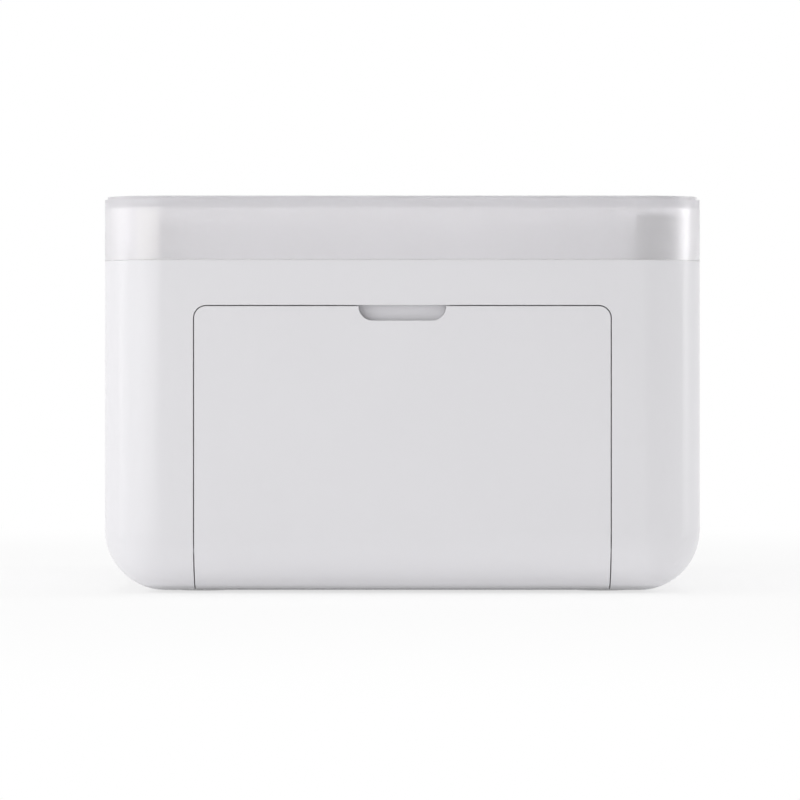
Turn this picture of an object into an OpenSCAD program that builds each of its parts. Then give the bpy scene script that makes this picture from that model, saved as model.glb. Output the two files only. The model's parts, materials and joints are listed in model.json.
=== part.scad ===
// Compact dye-sublimation photo printer. X is across the short end, Y runs from the cartridge
// door to the far end, Z is up. The origin is the middle of the footprint, on the table.

/* [Case] */
// Width of the case across the short end
body_w = 124; // [122:0.5:130]
// Length of the case
body_d = 194.5; // [193:0.5:200]
// Height of the tub from its underside to the lid seam
tub_h = 68.5; // [67.5:0.5:74]
// Radius of the upright corners and of the bottom edge
edge_r = 12.6; // [11:0.1:13.5]
// Wall thickness of the tub
wall = 2.5; // [2.2:0.1:2.8]

/* [Lid] */
// Height of the lid's sides
lid_h = 13.3; // [13:0.1:20]
// Thickness of the lid's sides
lid_wall = 2.75; // [2.4:0.05:3]
// Thickness of the lid's top plate
lid_top_t = 2.3; // [1.6:0.1:2.5]
// Rounding of the lid's top edge
lid_edge = 0.6; // [0.3:0.1:1]
// Gap in the seam between the tub and the lid
seam_gap = 0.05; // [0.05:0.05:0.3]
// Distance of the lid's hinge line from its back face and lower edge
lid_hinge_r = 2.2; // [2:0.05:2.4]
// Distance of each lid hinge from the middle
lid_hinge_x = 35; // [25:1:38]
// Width of a lid hinge lug
lid_lug_w = 10; // [8:0.5:14]

/* [Cartridge door] */
// Width of the cartridge door
door_w = 86; // [84:0.5:87]
// Height of the door's top edge above the tub's underside
door_top = 59; // [58:0.1:60]
// Radius of the door's top corners
door_corner_r = 2.5; // [1:0.1:4]
// Gap round the cartridge door
door_gap = 0.2; // [0.15:0.05:0.4]
// Thickness of the wrapping doors
door_t = 2.2; // [1.8:0.1:2.4]
// Width of the finger notch
notch_w = 18.1; // [14:0.1:22]
// Depth of the finger notch
notch_h = 3; // [2:0.1:4]

/* [Paper slots] */
// Gap round the flaps of the paper slots
flap_gap = 0.3; // [0.2:0.05:0.5]
// Height of the tray slot flap's top edge above the tub's underside
flap_top = 31; // [28:0.5:33]
// Height of the run-out flap
runout_h = 7.8; // [7:0.1:9]
// Thickness of the run-out flap
runout_t = 1.8; // [1.5:0.1:2]

/* [Paper and ribbon] */
// Height of a full stack of paper
stack_h = 4.2; // [2:0.1:5]
// Radius of the ribbon wound on the full supply spool
supply_roll_r = 10; // [9:0.1:10.4]
// Radius of the ribbon wound on the take-up spool
takeup_roll_r = 8.7; // [8.4:0.1:10]
// Outer radius of the cartridge's two spool tubes
tube_r = 13; // [12.6:0.1:13.2]
// Wall thickness of the cartridge shell
tube_wall = 1.4; // [1.2:0.1:1.6]
// Distance of each spool from the middle
spool_x = 24; // [23.5:0.1:24.5]

/* [Rollers and gears] */
// Radius of the platen roller
platen_r = 5.5; // [5:0.1:5.6]
// Radius of the pinch roller
pinch_r = 3.5; // [3:0.1:3.6]
// Radius of the pickup roller
pickup_r = 6.5; // [6:0.1:7]
// Radius of the roller shafts
shaft_r = 2; // [1.8:0.1:2.2]
// Distance of the capstan and pickup rollers from the platen
capstan_x = 38; // [37.7:0.1:38.1]
// Module of the paper drive gears
gear_m = 0.8; // [0.79:0.005:0.805]
// Face width of a gear
gear_face = 4; // [3:0.1:4.5]
// Clearance between meshing tooth flanks
backlash = 0.14; // [0.1:0.01:0.2]
// Running clearance of a shaft in its bush, on the radius
run_fit = 0.05; // [0.03:0.01:0.08]

/* [Print head] */
// Lift of the thermal head off the ribbon
head_lift = 3.8; // [3:0.1:4]
// Distance of the arm's pivot from the platen
arm_x = 46; // [45.8:0.1:46.4]

/* [Hidden] */
$fn = 48;

// Case
foot_stand = 0.5;
foot_r = 6;
foot_t = 1.7;
z_under = foot_stand;
z_floor = z_under + wall;
z_seam = z_under + tub_h;
z_lid = z_seam + seam_gap;
z_top = z_seam + lid_h;
z_lid_in = z_top - lid_top_t;
hx = body_w / 2;
hy = body_d / 2;
foot_x = hx - 20;
foot_y = hy - 31.25;
corner_x = hx - edge_r;
corner_y = hy - edge_r;
part_fit = 0.3;

// Wrapping doors: p is the distance in from the outer face, z is up. A hinge is [p, z]
door_hinge = [3.75, z_under + 8.5];
door_lip_r = 10;
door_boss_r = 2.4;
flap_hinge = [5.2, z_under + 4.7];
flap_lip_r = 1.75;
flap_seat_r = 2.5;
hinge_boss_l = 8;
hinge_pin_r = 1;
hinge_pin_in = 6;
lug_l = 5;
lug_pin_in = 3.8;
lug_back = 3.25;
lug_half_h = 3.6;

// Ledge that closes the door's notch from behind, a fingernail's thickness off the door
ledge_w = notch_w + 9;
ledge_drop = notch_h + 2;
ledge_lap = 1.5;
ledge_p = [door_t + 0.5, door_t + 2];

// Frame round the cartridge bay and the magnets that hold the door shut
bay_p = [10.2, 12.2];
bay_x = 45;
bay_z = [z_under + 19.5, z_under + 59.5];
bay_post_r = 2.6;
bay_posts = [[42, z_under + 32.5], [42, z_under + 54.5]];
magnet_x = 39.5;
magnet_z = z_under + 54.5;
magnet_r = 2.4;
magnet_p = [4, 10.2];
strike_t = 1;

// Run-out opening in the +X wall
runout_z = [z_under + 22.3, z_under + 22.3 + runout_h];
runout_p = 1.6;
runout_pin_r = 0.8;
runout_pin_l = 2.4;
runout_hinge_z = runout_z[1] - 1.5;

// Lid hinge, as [y, z], with the lugs that rise from the tub's far wall. The swing room keeps
// the lid's back clear of the rim as it stands past upright
lid_swing = 0.4;
lid_axis = [hy - lid_hinge_r, z_lid + lid_hinge_r + lid_swing];
lid_pin_r = 0.8;
lid_lug_r = lid_hinge_r - 0.2;
lid_knuckle_w = 5.5;
lug_drop = 3.5;

// Paper path and axes, all along Y
z_path = z_under + 25;
nip_gap = 0.2;
z_film = z_path + 0.4;
film_t = 0.12;
platen_teeth = 25;
capstan_teeth = 30;
takeup_teeth = 34;
feed_idler_teeth = 21;
pickup_teeth = 24;
pickup_idler_teeth = 24;
small_teeth = 14;
large_teeth = 36;
pinion_teeth = 12;
capstan_r = platen_r * capstan_teeth / platen_teeth;
platen_at = [0, z_path - nip_gap - platen_r];
capstan_at = [capstan_x, z_path - nip_gap - capstan_r];
pinch_at = [capstan_x, z_path + nip_gap + pinch_r];
takeup_mesh = pitch_r(capstan_teeth) + pitch_r(takeup_teeth);
takeup_dx = capstan_x - spool_x;
takeup_at = [spool_x, capstan_at[1] + sqrt(takeup_mesh * takeup_mesh - takeup_dx * takeup_dx)];
supply_at = [-spool_x, takeup_at[1]];
pickup_at = [-capstan_x, z_path - 2.8];
pickup_flat = 2.3;
pickup_w = 32;
feed_idler_at = mesh_point(platen_at, pitch_r(platen_teeth) + pitch_r(feed_idler_teeth),
    capstan_at, pitch_r(capstan_teeth) + pitch_r(feed_idler_teeth), -1);
pickup_idler_at = mesh_point(platen_at, pitch_r(platen_teeth) + pitch_r(pickup_idler_teeth),
    pickup_at, pitch_r(pickup_teeth) + pitch_r(pickup_idler_teeth), 1);
compound_at = polar_from(platen_at, pitch_r(platen_teeth) + pitch_r(small_teeth), 110);
motor_at = polar_from(compound_at, pitch_r(large_teeth) + pitch_r(pinion_teeth), 140);

// Chassis, along Y
plate_t = 1.2;
front_plate_y = -hy + 15.25;
gear_plate_y = hy - 61.75;
layer_gap = 1.8;
layer_1_y = gear_plate_y + plate_t + layer_gap;
layer_2_y = layer_1_y + gear_face + 2;
motor_plate_y = layer_2_y + gear_face + 2;
plates_from = front_plate_y + plate_t;
plates_to = gear_plate_y;
paper_mid_y = (plates_from + plates_to) / 2;
flap_side = 0.15;
flap_w = plates_to - plates_from - 2 * flap_side;
runout_side = 5.15;
runout_w = plates_to - plates_from - 2 * runout_side;
pan_z = z_floor + 3.3;
pan_t = 1;
plate_x = [-hx + 9, hx - 7];
plate_top = z_under + 60;
plate_cut = 8;
pan_x = [-18, plate_x[1] - 1];
pan_screw_x = [pan_x[0] + 5, pan_x[1] - 6];
pan_screw_y = [plates_from + 8, plates_to - 8];
tie_x = [plate_x[0] + 5, plate_x[1] - 4];
tie_places = [[tie_x[0], z_under + 36], [tie_x[0], z_under + 54], [tie_x[1], z_under + 13.5]];
tie_r = 2.5;
tie_end_r = 1.6;
standoff_places = [[tie_x[0] + 0.5, z_under + 12.5], [tie_x[0] + 2, z_under + 57],
    [tie_x[1], z_under + 57], [-8, z_under + 8.5]];
standoff_r = 2.4;
stud_r = 1.5;
pinch_shaft_r = 1.5;
bush_places = [platen_at, capstan_at, pickup_at];
bush_r = 3.2;
bush_flange_r = 4.2;
bush_flange_t = 0.9;
roller_neck = 5;
hub_r = 3.4;
pan_boss_r = 3.4;
screw_r = 1.25;
screw_head_r = 2.4;
screw_head_t = 1.2;
screw_sink = 1.3;
screw_fit = 0.1;
guide_beds = [[-19, -8], [9, 28], [45.5, plate_x[1] - 2]];
guide_legs = [-15, 12, 45.5];
guide_leg_w = 2;
guide_t = 1.6;
guide_drop = 0.6;

// Print head arm and its cam
arm_at = [arm_x, z_under + 51];
arm_t = 1.2;
arm_top_z = z_under + 56;
arm_end_gap = 1.2;
arm_shaft_r = 2;
head_down_z = z_film + film_t + 0.1;
head_angle = asin(head_lift / arm_x);
tail_len = 14;
tail_w = 3.2;
tail_x = arm_x + 0.5;
cam_gap = 0.3;
cam_throw = tail_len * sin(head_angle) / 2 + 0.05;
cam_r = 3.1;
cam_w = 4;
cam_shaft_r = 1.5;
cam_at = [tail_x + cam_gap + cam_r + cam_throw, arm_at[1] - tail_len];
cam_m = 0.6;
cam_teeth = 26;
cam_pinion_teeth = 12;
cam_pinion_at = [cam_at[0], cam_at[1] + cam_m * (cam_teeth + cam_pinion_teeth) / 2];
sink_w = 13;
head_ceramic_t = 1.5;
head_ridge = [2.4, 0.5];
cam_motor_r = 7.4;
cam_motor_l = 16;
spring_wire_r = 0.45;
spring_turns = 7;
motor_r = 12.2;
motor_l = 29;
motor_shaft_r = 1;
motor_boss_r = 3.5;
motor_boss_h = 1;

// Cartridge, along Y
cartridge_y = [-hy + 9.25, gear_plate_y - 2.5];
flange_t = 3.2;
ribbon_side = 6.15;
ribbon_y = [plates_from + ribbon_side, plates_to - ribbon_side];
core_r = 7;
core_bore = 5;
core_bore_l = 12;
core_stub_r = 3;
core_stub_l = 5;
spindle_r = 4.2;
spindle_l = 8;
rib_reach = 0.5;
rib_half_w = 0.7;
rib_fit = 0.25;
lip_x = [11.7, 13];
film_slot = 2;
sink_y = [ribbon_y[0] + 1, ribbon_y[1] - 1];

// Deck and cassette
deck_t = 1.8;
deck_fit = 0.3;
deck_wall = 1.2;
deck_z = z_seam - 4.5 - deck_t;
well_z = deck_z + deck_t;
column_r = 3.4;
column_x = hx - 11;
column_y = hy - 11;
catch_x = [hx - 13.4, hx - 5];
catch_y = [-hy + lid_wall + 1.8, -hy + lid_wall + 8.6];
catch_top = z_lid_in - 1.6;
lid_strike_r = 2.8;
lid_strike_t = 1.1;
bumper_size = [4.1, 5];
bumper_x = -hx + 7.4;
rail_w = 2.5;
cassette_fit = 0.6;
tray_wall = 2.6;
tray_floor = 1.5;
lift_room = 9.5;
tray_side = 7.8;
tray_ends = [13.75, 12.85];
tray_w = body_w - 2 * tray_side;
tray_y = [-hy + tray_ends[0], hy - tray_ends[1]];
paper_w = tray_w - 2 * (tray_wall + cassette_fit);
paper_l = tray_y[1] - tray_y[0] - 2 * (tray_wall + cassette_fit) - lift_room;
tray_z = well_z + 0.2;
tray_top = z_lid_in - 0.7;
cover_t = 1.5;
cover_from = 46;
lift_t = 0.8;
lift_pin_r = 1;
lift_gap = 0.4;
lift_axis = [tray_y[1] - tray_wall - 3, tray_z + tray_floor + 1.5];

// Electrics
board_y = hy - 13.2;
board_t = 1.6;
board_half = hx - 16;
board_screw_x = [-board_half + 6, board_half - 6];
board_screw_z = [z_under + 12, z_under + 54];
jack_z = z_under + 17;
jack_y = column_y - 9;
jack_box = [12, 10, 11];
jack_r = 3.9;
jack_bore_r = 2.75;
jack_pin_r = 1;
jack_bore_l = 9.5;
button_y = foot_y;
button_z = z_under + 40;
button_r = 5.5;
button_travel = 0.6;
button_flange = 1;
switch_p = wall + part_fit + button_flange + button_travel + 0.1;
switch_size = [4, 14, 22];
switch_rail = 1.5;
led_z = z_under + 51;
led_r = 1.2;

// Gear geometry
function pitch_r(teeth) = gear_m * teeth / 2;
function polar_from(p, r, a) = [p[0] + r * cos(a), p[1] + r * sin(a)];
function mesh_point(p, rp, q, rq, side) =
    let (d = norm(q - p), u = (q - p) / d, a = (rp * rp - rq * rq + d * d) / (2 * d),
        h = sqrt(rp * rp - a * a))
    p + a * u + side * h * [-u[1], u[0]];
function line_angle(p, q) = atan2(q[1] - p[1], q[0] - p[0]);
// Phase, in degrees, of a gear at q that meshes with a gear at p of phase start
function mesh_phase(p, teeth_p, start, q, teeth_q) =
    let (a = line_angle(p, q)) a + 180 - 180 / teeth_q + (a - start) * teeth_p / teeth_q;
function involute(base, r) =
    let (t = sqrt(max(0, pow(r / base, 2) - 1))) t * 180 / PI - atan(t);
platen_phase = 0;
feed_idler_phase = mesh_phase(platen_at, platen_teeth, platen_phase, feed_idler_at, feed_idler_teeth);
capstan_phase = mesh_phase(feed_idler_at, feed_idler_teeth, feed_idler_phase, capstan_at,
    capstan_teeth);
takeup_phase = mesh_phase(capstan_at, capstan_teeth, capstan_phase, takeup_at, takeup_teeth);
pickup_idler_phase = mesh_phase(platen_at, platen_teeth, platen_phase, pickup_idler_at,
    pickup_idler_teeth);
pickup_phase = mesh_phase(pickup_idler_at, pickup_idler_teeth, pickup_idler_phase, pickup_at,
    pickup_teeth);
compound_phase = mesh_phase(platen_at, platen_teeth, platen_phase, compound_at, small_teeth);
pinion_phase = mesh_phase(compound_at, large_teeth, compound_phase, motor_at, pinion_teeth);
cam_pinion_phase = mesh_phase(cam_at, cam_teeth, 0, cam_pinion_at, cam_pinion_teeth);

// Colours
case_white = [0.86, 0.86, 0.87];
frost = [0.84, 0.84, 0.86, 0.6];
steel = [0.66, 0.68, 0.70];
dark = [0.20, 0.20, 0.22];
grey = [0.50, 0.51, 0.54];
natural = [0.90, 0.88, 0.82];

// A cylinder along Y at [x, z] from y0 to y1
module rod(at, r, y0, y1) {
    translate([at[0], y1, at[1]]) rotate([90, 0, 0]) cylinder(r = r, h = y1 - y0);
}

// A flat shape drawn in X and Z, extruded along Y from y0 to y1
module along_y(y0, y1) {
    translate([0, y1, 0]) rotate([90, 0, 0]) linear_extrude(y1 - y0) children();
}

// A flat shape drawn in Y and Z, extruded along X from x0 to x1
module along_x(x0, x1) {
    translate([x0, 0, 0]) rotate([90, 0, 90]) linear_extrude(x1 - x0) children();
}

module round_rect(w, d, r) {
    square([w - 2 * r, d], center = true);
    square([w, d - 2 * r], center = true);
    for (sx = [-1, 1], sy = [-1, 1]) {
        translate([sx * (w / 2 - r), sy * (d / 2 - r)]) circle(r);
    }
}

// The plan outline of the case, set in by inset
module case_plan(inset) {
    round_rect(body_w - 2 * inset, body_d - 2 * inset, edge_r - inset);
}

// The tub's outer solid, set in by inset, with its rounded bottom edge
module tub_solid(inset, z_hi) {
    r = edge_r - inset;
    z_lo = z_under + inset;
    translate([0, 0, z_lo + r]) linear_extrude(z_hi - z_lo - r) case_plan(inset);
    translate([-corner_x, -corner_y, z_lo]) cube([2 * corner_x, 2 * corner_y, r]);
    for (s = [-1, 1]) {
        translate([s * corner_x, 0, z_lo + r]) rotate([90, 0, 0])
            cylinder(r = r, h = 2 * corner_y, center = true);
        translate([0, s * corner_y, z_lo + r]) rotate([0, 90, 0])
            cylinder(r = r, h = 2 * corner_x, center = true);
    }
    for (sx = [-1, 1], sy = [-1, 1]) {
        translate([sx * corner_x, sy * corner_y, z_lo + r]) sphere(r);
    }
}

// The case's rounded side section, as far in as the bottom rounding's centre, set in by inset
module edge_section(inset, z_hi) {
    r = edge_r - inset;
    translate([inset, z_under + edge_r]) square([r, z_hi - z_under - edge_r]);
    translate([edge_r, z_under + edge_r]) intersection() {
        circle(r);
        translate([-r, -r]) square([r, r + 0.01]);
    }
    translate([edge_r - 0.01, z_under + inset]) square([edge_r, r]);
}

// Section of a door that wraps the bottom edge, as far as lip_r round its hinge line
module wrap_section(hinge, lip_r, z_hi) {
    difference() {
        edge_section(0, z_hi);
        edge_section(door_t, z_hi + 1);
        difference() {
            translate([-1, 0]) square([2 * edge_r + 2, hinge[1]]);
            translate(hinge) circle(lip_r);
        }
        translate([hinge[0] + lip_r, 0]) square([2 * edge_r, z_hi]);
    }
}

// Section of the space that such a door needs in the tub, with a round seat for its lip
module wrap_cut(hinge, seat_r, z_hi) {
    translate([-1, hinge[1]]) square([edge_r, z_hi - hinge[1]]);
    translate(hinge) circle(seat_r);
}

// Front outline of the cartridge door, grown by gap on its sides and top
module door_front(gap) {
    w = door_w / 2 + gap;
    r = door_corner_r + gap;
    top = z_under + door_top + gap;
    translate([-w, -1]) square([2 * w, top - r + 1]);
    translate([-w + r, -1]) square([2 * (w - r), top + 1]);
    for (s = [-1, 1]) translate([s * (w - r), top - r]) circle(r);
}

// The finger notch, with rounded lower corners
module notch_front() {
    r = notch_h - 0.05;
    top = z_under + door_top;
    translate([-notch_w / 2 + r, top - notch_h]) square([notch_w - 2 * r, notch_h + 1]);
    for (s = [-1, 1]) intersection() {
        translate([s * (notch_w / 2 - r), top - notch_h + r]) circle(r);
        translate([-notch_w / 2, top - notch_h]) square([notch_w, notch_h + 1]);
    }
    translate([-notch_w / 2, top - notch_h + r]) square([notch_w, notch_h + 1]);
}

// Places a shape made in p and z along the face at -Y
module at_front_face() {
    translate([0, -hy, 0]) children();
}

// Places a shape made as for the face at -Y, along the face at -X and centred on y
module at_left_face(y) {
    translate([-hx, y, 0]) rotate([0, 0, -90]) children();
}

// Places a shape made about Z on a door's hinge line, along X
module on_hinge(hinge, x) {
    translate([x, hinge[0], hinge[1]]) rotate([0, 90, 0]) children();
}

// A pair of hinge lugs outside a door of width w
module hinge_lugs(w, hinge, gap) {
    for (s = [-1, 1]) translate([s * (w / 2 + gap + lug_l / 2) - lug_l / 2, wall / 2,
        hinge[1] - lug_half_h]) cube([lug_l, hinge[0] + lug_back - wall / 2, 2 * lug_half_h]);
}

module hinge_lug_bores(w, hinge) {
    for (s = [-1, 1]) on_hinge(hinge, s * (w / 2 + lug_pin_in / 2))
        cylinder(r = hinge_pin_r + run_fit, h = lug_pin_in + 0.8, center = true);
}

// A stub pin at each end of a door of width w
module stub_pins(w, hinge) {
    for (s = [-1, 1]) on_hinge(hinge, s * (w + lug_pin_in - hinge_pin_in) / 2)
        cylinder(r = hinge_pin_r, h = hinge_pin_in + lug_pin_in, center = true);
}

// A wrapping door of width w: section, hinge bosses and pin bores
module wrap_door(w, hinge, lip_r, boss_r, z_hi) {
    difference() {
        union() {
            along_x(-w / 2, w / 2) wrap_section(hinge, lip_r, z_hi);
            for (s = [-1, 1]) on_hinge(hinge, s * (w - hinge_boss_l) / 2)
                cylinder(r = boss_r, h = hinge_boss_l, center = true);
        }
        for (s = [-1, 1]) on_hinge(hinge, s * (w - hinge_pin_in) / 2)
            cylinder(r = hinge_pin_r, h = hinge_pin_in + 0.01, center = true);
    }
}

module outer_housing() color(case_white) {
    tub_shell();
    notch_ledge();
}

// The tub with its openings
module tub_shell() difference() {
    union() {
        difference() {
            tub_solid(0, z_seam);
            tub_solid(wall, z_seam + 1);
        }
        intersection() {
            tub_solid(0, z_seam);
            union() {
                at_front_face() hinge_lugs(door_w, door_hinge, door_gap);
                at_left_face(paper_mid_y) hinge_lugs(flap_w, flap_hinge, flap_gap);
                deck_columns();
                runout_lugs();
                chassis_bosses();
                board_bosses();
                jack_cradle();
                switch_rails();
            }
        }
        lid_lugs();
    }
    intersection() {
        at_front_face() along_x(-hx, hx)
            wrap_cut(door_hinge, door_lip_r + door_gap, z_under + door_top + door_gap);
        along_y(-hy - 1, 0) door_front(door_gap);
    }
    at_left_face(paper_mid_y) along_x(-flap_w / 2 - flap_gap, flap_w / 2 + flap_gap)
        wrap_cut(flap_hinge, flap_seat_r, z_under + flap_top + flap_gap);
    at_front_face() hinge_lug_bores(door_w, door_hinge);
    at_left_face(paper_mid_y) hinge_lug_bores(flap_w, flap_hinge);
    runout_opening();
    lid_pin_bores(lid_lug_w + 1);
    foot_recesses();
    for (sx = [-1, 1], sy = [-1, 1]) translate([sx * column_x, sy * column_y, deck_z - 8])
        cylinder(r = screw_r, h = 9);
    translate([hx - wall - 1, jack_y, jack_z]) rotate([0, 90, 0])
        cylinder(r = jack_r + part_fit, h = wall + 2);
    translate([-hx - 1, button_y, button_z]) rotate([0, 90, 0])
        cylinder(r = button_r + part_fit, h = wall + 2);
    translate([-hx - 1, button_y, led_z]) rotate([0, 90, 0])
        cylinder(r = led_r + 0.05, h = wall + 2);
    vents();
}

// The ledge hangs behind the notch from the wall above the door
module notch_ledge() {
    top = z_under + door_top + door_gap;
    at_front_face() {
        translate([-ledge_w / 2, ledge_p[0], top - ledge_drop])
            cube([ledge_w, ledge_p[1] - ledge_p[0], ledge_drop + ledge_lap]);
        translate([-ledge_w / 2, wall / 2, top])
            cube([ledge_w, ledge_p[1] - wall / 2, ledge_lap]);
    }
}

module deck_columns() {
    rib_t = 1.6;
    for (sx = [-1, 1], sy = [-1, 1]) translate([sx * column_x, sy * column_y, z_under]) {
        cylinder(r = column_r, h = deck_z - z_under);
        rotate([0, 0, atan2(sy, sx)]) translate([0, -rib_t / 2, 0])
            cube([edge_r, rib_t, deck_z - z_under - 4]);
    }
}

module chassis_bosses() {
    for (x = pan_screw_x, y = pan_screw_y)
        translate([x, y, z_under]) difference() {
            cylinder(r = pan_boss_r, h = pan_z - z_under);
            translate([0, 0, wall]) cylinder(r = screw_r, h = pan_z);
        }
}
module board_bosses() {
    for (x = board_screw_x, z = board_screw_z) rod([x, z], 3, board_y + board_t, hy - wall / 2);
}

// Block that the power socket stands on
module jack_cradle() {
    translate([hx - wall - part_fit - jack_box[0] + 1, jack_y - jack_box[1] / 2 + 1, z_under])
        cube([jack_box[0], jack_box[1] - 2, jack_z - jack_box[2] / 2 - z_under]);
}

// Two rails that the power switch's block is held between
module switch_rails() {
    for (s = [-1, 1]) translate([-hx + wall / 2,
        button_y + s * (switch_size[1] + switch_rail) / 2 - switch_rail / 2, button_z - 7])
        cube([switch_p + switch_size[0] - wall / 2, switch_rail, switch_size[2]]);
}

module foot_recesses() {
    for (sx = [-1, 1], sy = [-1, 1]) translate([sx * foot_x, sy * foot_y, 0])
        cylinder(r = foot_r + 0.1, h = foot_t + 0.01);
}

// Cooling slots low in the far end
module vents() {
    count = 13;
    pitch = 4.2;
    for (i = [0 : count - 1]) translate([(i - (count - 1) / 2) * pitch, hy, z_under + 27])
        cube([1.6, 4 * wall, 16], center = true);
}

// Run-out opening in the +X wall, with the bores for its flap's pins
module runout_opening() {
    translate([hx - wall - 1, paper_mid_y - runout_w / 2 - flap_gap, runout_z[0] - flap_gap])
        cube([wall + 2, runout_w + 2 * flap_gap, runout_h + 2 * flap_gap]);
    rod([hx - runout_p, runout_hinge_z], runout_pin_r + run_fit,
        paper_mid_y - runout_w / 2 - runout_pin_l - 0.4,
        paper_mid_y + runout_w / 2 + runout_pin_l + 0.4);
}

module runout_lugs() {
    for (s = [-1, 1]) translate([hx - wall - 1.4, paper_mid_y + s * (runout_w / 2 + flap_gap + 2),
        runout_hinge_z - 2.8]) translate([0, -2, 0]) cube([2.6, 4, 5.6]);
}

// Lid hinge lugs on the tub's far wall
module lid_lugs() {
    for (s = [-1, 1]) along_x(s * lid_hinge_x - lid_lug_w / 2, s * lid_hinge_x + lid_lug_w / 2) {
        translate(lid_axis) circle(lid_lug_r);
        translate([lid_axis[0] - lid_lug_r, z_seam - lug_drop])
            square([2 * lid_lug_r, lid_axis[1] - z_seam + lug_drop]);
    }
}

module lid_pin_bores(length, fit = run_fit) {
    for (s = [-1, 1]) translate([s * lid_hinge_x, lid_axis[0], lid_axis[1]]) rotate([0, 90, 0])
        cylinder(r = lid_pin_r + fit, h = length, center = true);
}

module top_deck() color(case_white) difference() {
    union() {
        translate([0, 0, deck_z]) linear_extrude(deck_t) case_plan(wall + deck_fit);
        translate([0, 0, deck_z]) linear_extrude(z_seam - 0.5 - deck_z) difference() {
            case_plan(wall + deck_fit);
            case_plan(wall + deck_fit + deck_wall);
        }
    }
    for (s = [-1, 1]) translate([s * lid_hinge_x - lid_lug_w / 2 - deck_fit,
        lid_axis[0] - lid_lug_r - deck_fit, deck_z - 1]) cube([lid_lug_w + 2 * deck_fit, 10, 20]);
    for (sx = [-1, 1], sy = [-1, 1]) translate([sx * column_x, sy * column_y, deck_z - 1]) {
        cylinder(r = screw_r + screw_fit, h = 9);
        translate([0, 0, deck_t + 1 - screw_sink]) cylinder(r = screw_head_r + 0.2, h = 9);
    }
}

module rubber_feet() color(dark)
    for (sx = [-1, 1], sy = [-1, 1]) translate([sx * foot_x, sy * foot_y, 0])
        cylinder(r = foot_r, h = foot_t);

module screw(length) {
    cylinder(r = screw_head_r, h = screw_head_t);
    translate([0, 0, -length]) cylinder(r = screw_r - 0.02, h = length + 0.01);
}

module case_screws() color(steel) {
    for (sx = [-1, 1], sy = [-1, 1])
        translate([sx * column_x, sy * column_y, well_z - screw_sink]) screw(6);
    for (x = pan_screw_x, y = pan_screw_y) translate([x, y, pan_z + pan_t]) screw(4);
}

// Silhouette of the ribbon cartridge, grown by gap
module cartridge_front(gap) {
    for (s = [-1, 1]) translate([s * spool_x, takeup_at[1]]) circle(tube_r + gap);
    translate([-spool_x, takeup_at[1] - 8 - gap]) square([2 * spool_x, 17 + 2 * gap]);
    lip = lip_x[1] + gap;
    polygon([[-spool_x, takeup_at[1]], [-spool_x, takeup_at[1] - tube_r + 0.5], [-lip, z_film - gap],
        [lip, z_film - gap], [spool_x, takeup_at[1] - tube_r + 0.5], [spool_x, takeup_at[1]]]);
}

// Frame round the cartridge bay, on posts from the front side plate, with its magnet holders
module bay_frame() color(case_white) at_front_face() difference() {
    union() {
        along_y(bay_p[0], bay_p[1]) difference() {
            translate([-bay_x, bay_z[0]]) square([2 * bay_x, bay_z[1] - bay_z[0]]);
            cartridge_front(0.8);
        }
        for (s = [-1, 1]) {
            rod([s * magnet_x, magnet_z], magnet_r + 1.1, magnet_p[0] + 1.2, bay_p[1]);
            for (p = bay_posts)
                rod([s * p[0], p[1]], bay_post_r, bay_p[1], hy + front_plate_y);
        }
    }
    for (s = [-1, 1]) rod([s * magnet_x, magnet_z], magnet_r, magnet_p[0], bay_p[0]);
}

module door_magnets() color(steel) at_front_face()
    for (s = [-1, 1]) rod([s * magnet_x, magnet_z], magnet_r - 0.02, magnet_p[0], bay_p[0]);

module door_strikes() color(steel) at_front_face()
    for (s = [-1, 1]) rod([s * magnet_x, magnet_z], magnet_r + 0.4, door_t, door_t + strike_t);

// The magnet catch that holds the lid's door end down
module lid_catch() color(dark) in_deck_wall()
    translate([catch_x[0], catch_y[0], well_z])
        cube([catch_x[1] - catch_x[0], catch_y[1] - catch_y[0], catch_top - well_z]);

// Trims a block to stand clear of the deck's rounded wall
module in_deck_wall() intersection() {
    children();
    translate([0, 0, deck_z]) linear_extrude(z_top - deck_z)
        case_plan(wall + 2 * deck_fit + deck_wall);
}

module lid_strike() color(steel)
    translate([(catch_x[0] + catch_x[1]) / 2, (catch_y[0] + catch_y[1]) / 2,
        z_lid_in - lid_strike_t]) cylinder(r = lid_strike_r, h = lid_strike_t);

module lid_bumper() color(natural) in_deck_wall()
    translate([bumper_x, catch_y[0], well_z])
        cube([bumper_size[0], bumper_size[1], z_lid_in - part_fit - well_z]);

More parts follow.
